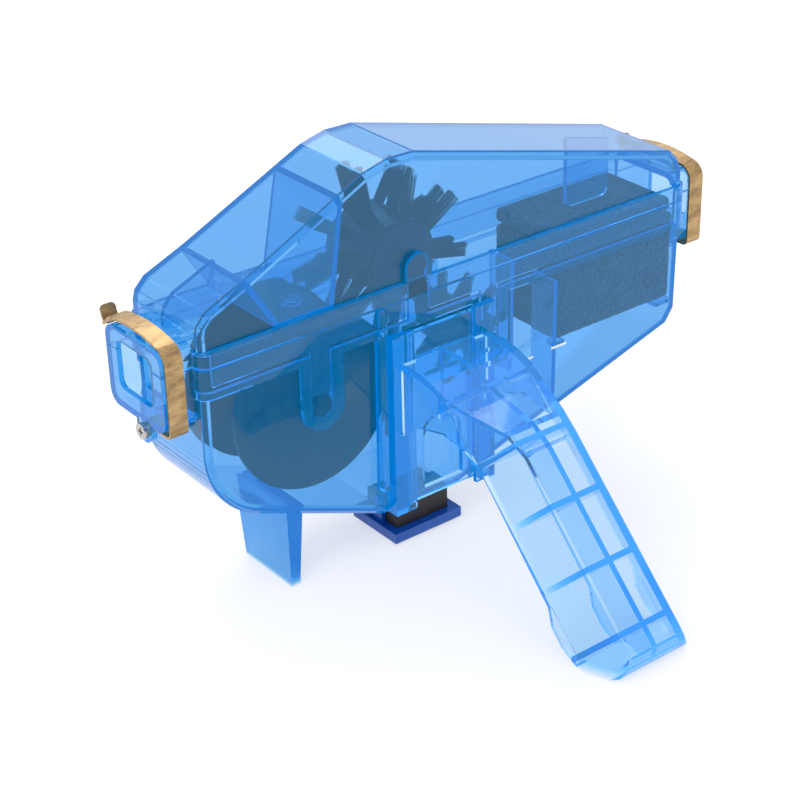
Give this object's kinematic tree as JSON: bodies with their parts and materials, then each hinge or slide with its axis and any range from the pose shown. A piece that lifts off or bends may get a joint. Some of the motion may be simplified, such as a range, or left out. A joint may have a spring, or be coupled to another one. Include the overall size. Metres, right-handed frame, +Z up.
{
  "type": "bike chain cleaner",
  "caption": "Clip-on bicycle chain cleaner: a clear solvent case with a lift-off lid, rotating scrub brushes, a pair of sponges, spring clips over the chain openings and an angled grip.",
  "frame": {"origin": "centre of the front chain opening, in the plane of the front nose's end", "axes": "+X along the chain from the front opening to the rear one, -Y the side of the grip, +Z up"},
  "size_m": [0.2342, 0.1483, 0.142],
  "materials": {
    "case_clear": "clear blue moulding, polished",
    "grip_clear": "clear light blue moulding, polished",
    "tray_blue": "deep blue moulding",
    "brush_plastic": "dark moulding",
    "bristle": "stiff dark strands",
    "clip_metal": "worn tan spring strip",
    "screw_metal": "bright",
    "magnet_black": "dull black ceramic magnet",
    "sponge": "dark grey open foam"
  },
  "bodies": {
    "case": {"lower_case": "case_clear", "handle": "grip_clear", "magnet": "magnet_black", "magnet_tray": "tray_blue", "lower_sponge": "sponge", "front_screw": "screw_metal", "rear_screw": "screw_metal"},
    "lid": {"upper_case": "case_clear", "upper_sponge": "sponge"},
    "upper_brush": {"upper_core": "brush_plastic", "upper_bristles": "bristle", "upper_axle": "brush_plastic"},
    "front_brush": {"front_core": "brush_plastic", "front_bristles": "bristle", "front_near_disc": "brush_plastic", "front_far_disc": "brush_plastic", "front_axle": "brush_plastic"},
    "rear_brush": {"rear_core": "brush_plastic", "rear_bristles": "bristle", "rear_axle": "brush_plastic"},
    "front_clip_strap": {"front_clip": "clip_metal"},
    "rear_clip_strap": {"rear_clip": "clip_metal"}
  },
  "joints": [
    {"name": "lid_lift", "type": "slide", "parent": "case", "child": "lid", "axis": [0, 0, 1], "range_m": [0, 0.0062]},
    {"name": "upper_brush_spin", "type": "hinge", "parent": "lid", "child": "upper_brush", "pos_m": [0.0958, 0, 0.0145], "axis": [0, 1, 0], "continuous": true},
    {"name": "front_brush_spin", "type": "hinge", "parent": "case", "child": "front_brush", "pos_m": [0.0562, 0, -0.023], "axis": [0, 1, 0], "continuous": true},
    {"name": "rear_brush_spin", "type": "hinge", "parent": "case", "child": "rear_brush", "pos_m": [0.1266, 0, -0.023], "axis": [0, 1, 0], "continuous": true},
    {"name": "front_clip_swing", "type": "hinge", "parent": "case", "child": "front_clip_strap", "pos_m": [0.00415, -0.00301, -0.01851], "axis": [1, 0, 0], "range_deg": [0, 150]},
    {"name": "rear_clip_swing", "type": "hinge", "parent": "case", "child": "rear_clip_strap", "pos_m": [0.22705, -0.00301, -0.01851], "axis": [1, 0, 0], "range_deg": [0, 150]}
  ],
  "couplings": [
    {"joint": "front_clip_swing", "follows": "lid_lift", "rad_per_m": 420},
    {"joint": "rear_clip_swing", "follows": "lid_lift", "rad_per_m": 420}
  ]
}
